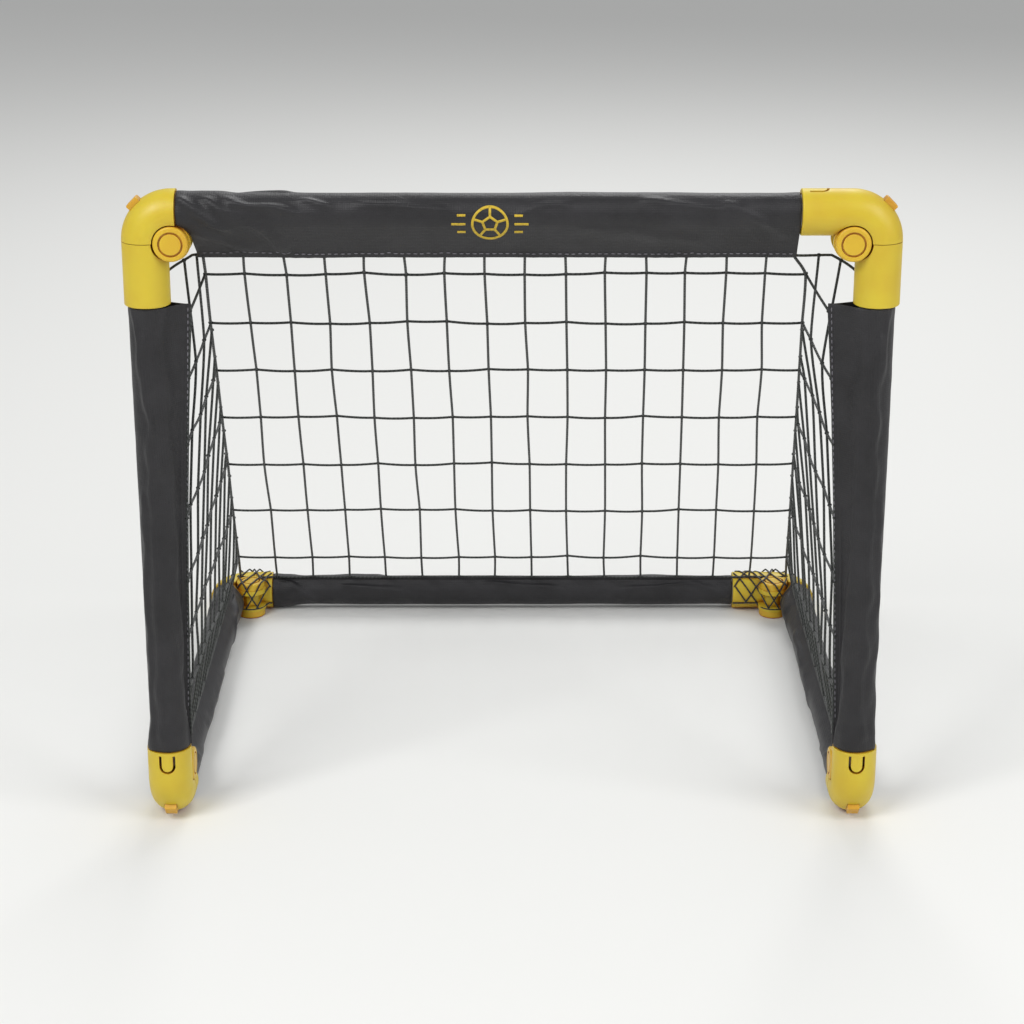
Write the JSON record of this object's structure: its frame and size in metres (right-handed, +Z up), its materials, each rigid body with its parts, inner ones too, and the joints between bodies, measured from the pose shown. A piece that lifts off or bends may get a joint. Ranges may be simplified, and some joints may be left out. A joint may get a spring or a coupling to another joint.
{
  "type": "pop up goal",
  "caption": "Small folding ball-game goal: covered steel tube frame with yellow folding elbows, a sloping back net and two side nets.",
  "frame": {"origin": "on the ground, under the middle of the whole goal's box", "axes": "+X to the right seen from the front, +Y to the back, +Z up; the mouth faces -Y"},
  "size_m": [0.5, 0.44, 0.44],
  "materials": {
    "yellow_plastic": "moulded, satin",
    "yellow_cap": "moulded, satin",
    "yellow_button": "moulded, satin",
    "pin_steel": "zinc plated",
    "spring_steel": "drawn wire",
    "tube_steel": "galvanised",
    "sleeve_fabric": "woven polyester, matt",
    "net_cord": "knotted polyethylene cord"
  },
  "bodies": {
    "rear_rail": {"rear_rail_tube": "tube_steel", "rear_rail_sleeve": "sleeve_fabric", "back_net": "net_cord", "rear_left_elbow_shell": "yellow_plastic", "rear_left_pivot_pin": "pin_steel", "rear_left_pivot_caps": "yellow_cap", "rear_left_lock_spring": "spring_steel", "rear_right_elbow_shell": "yellow_plastic", "rear_right_pivot_pin": "pin_steel", "rear_right_pivot_caps": "yellow_cap", "rear_right_lock_spring": "spring_steel"},
    "crossbar": {"crossbar_tube": "tube_steel", "crossbar_sleeve": "sleeve_fabric", "top_left_elbow_shell": "yellow_plastic", "top_left_pivot_pin": "pin_steel", "top_left_pivot_caps": "yellow_cap", "top_left_lock_spring": "spring_steel", "top_right_elbow_shell": "yellow_plastic", "top_right_pivot_pin": "pin_steel", "top_right_pivot_caps": "yellow_cap", "top_right_lock_spring": "spring_steel"},
    "left_side_rail": {"left_side_tube": "tube_steel", "left_side_sleeve": "sleeve_fabric", "left_net": "net_cord", "rear_left_elbow_tongue": "yellow_plastic", "foot_left_elbow_tongue": "yellow_plastic"},
    "right_side_rail": {"right_side_tube": "tube_steel", "right_side_sleeve": "sleeve_fabric", "right_net": "net_cord", "rear_right_elbow_tongue": "yellow_plastic", "foot_right_elbow_tongue": "yellow_plastic"},
    "left_upright": {"left_upright_tube": "tube_steel", "left_upright_sleeve": "sleeve_fabric", "top_left_elbow_tongue": "yellow_plastic", "foot_left_elbow_shell": "yellow_plastic", "foot_left_pivot_pin": "pin_steel", "foot_left_pivot_caps": "yellow_cap", "foot_left_lock_spring": "spring_steel"},
    "right_upright": {"right_upright_tube": "tube_steel", "right_upright_sleeve": "sleeve_fabric", "top_right_elbow_tongue": "yellow_plastic", "foot_right_elbow_shell": "yellow_plastic", "foot_right_pivot_pin": "pin_steel", "foot_right_pivot_caps": "yellow_cap", "foot_right_lock_spring": "spring_steel"},
    "top_left_lock_button": {"top_left_lock_button": "yellow_button"},
    "top_right_lock_button": {"top_right_lock_button": "yellow_button"},
    "rear_left_lock_button": {"rear_left_lock_button": "yellow_button"},
    "rear_right_lock_button": {"rear_right_lock_button": "yellow_button"},
    "foot_left_lock_button": {"foot_left_lock_button": "yellow_button"},
    "foot_right_lock_button": {"foot_right_lock_button": "yellow_button"}
  },
  "joints": [
    {"name": "frame_fold", "type": "hinge", "parent": "rear_rail", "child": "crossbar", "pos_m": [0, -0.187, 0.033], "axis": [-1, 0, 0], "range_deg": [0, 90], "deforming": ["back_net", "left_net", "right_net", "crossbar_sleeve", "left_upright_sleeve", "right_upright_sleeve"]},
    {"name": "left_arm_fold", "type": "hinge", "parent": "rear_rail", "child": "left_side_rail", "pos_m": [-0.217, 0.187, 0.015], "axis": [0, 0, 1], "range_deg": [0, 90]},
    {"name": "right_arm_fold", "type": "hinge", "parent": "rear_rail", "child": "right_side_rail", "pos_m": [0.217, 0.187, 0.015], "axis": [0, 0, 1], "range_deg": [-90, 0]},
    {"name": "left_foot_fold", "type": "hinge", "parent": "left_side_rail", "child": "left_upright", "pos_m": [-0.235, -0.187, 0.033], "axis": [-1, 0, 0], "range_deg": [0, 90]},
    {"name": "right_foot_fold", "type": "hinge", "parent": "right_side_rail", "child": "right_upright", "pos_m": [0.235, -0.187, 0.033], "axis": [-1, 0, 0], "range_deg": [0, 90]},
    {"name": "top_left_lock_press", "type": "slide", "parent": "crossbar", "child": "top_left_lock_button", "axis": [0.7071, 0, -0.7071], "range_m": [0, 0.003], "stiffness_N_per_m": 300, "springref_m": -0.002, "deforming": ["top_left_lock_spring"]},
    {"name": "top_right_lock_press", "type": "slide", "parent": "crossbar", "child": "top_right_lock_button", "axis": [-0.7071, 0, -0.7071], "range_m": [0, 0.003], "stiffness_N_per_m": 300, "springref_m": -0.002, "deforming": ["top_right_lock_spring"]},
    {"name": "rear_left_lock_press", "type": "slide", "parent": "rear_rail", "child": "rear_left_lock_button", "axis": [0.7071, -0.7071, 0], "range_m": [0, 0.003], "stiffness_N_per_m": 300, "springref_m": -0.002, "deforming": ["rear_left_lock_spring"]},
    {"name": "rear_right_lock_press", "type": "slide", "parent": "rear_rail", "child": "rear_right_lock_button", "axis": [-0.7071, -0.7071, 0], "range_m": [0, 0.003], "stiffness_N_per_m": 300, "springref_m": -0.002, "deforming": ["rear_right_lock_spring"]},
    {"name": "foot_left_lock_press", "type": "slide", "parent": "left_upright", "child": "foot_left_lock_button", "axis": [0, 0.7071, 0.7071], "range_m": [0, 0.003], "stiffness_N_per_m": 300, "springref_m": -0.002, "deforming": ["foot_left_lock_spring"]},
    {"name": "foot_right_lock_press", "type": "slide", "parent": "right_upright", "child": "foot_right_lock_button", "axis": [0, 0.7071, 0.7071], "range_m": [0, 0.003], "stiffness_N_per_m": 300, "springref_m": -0.002, "deforming": ["foot_right_lock_spring"]}
  ],
  "couplings": [
    {"joint": "left_foot_fold", "follows": "frame_fold", "ratio": 1},
    {"joint": "right_foot_fold", "follows": "frame_fold", "ratio": 1}
  ]
}
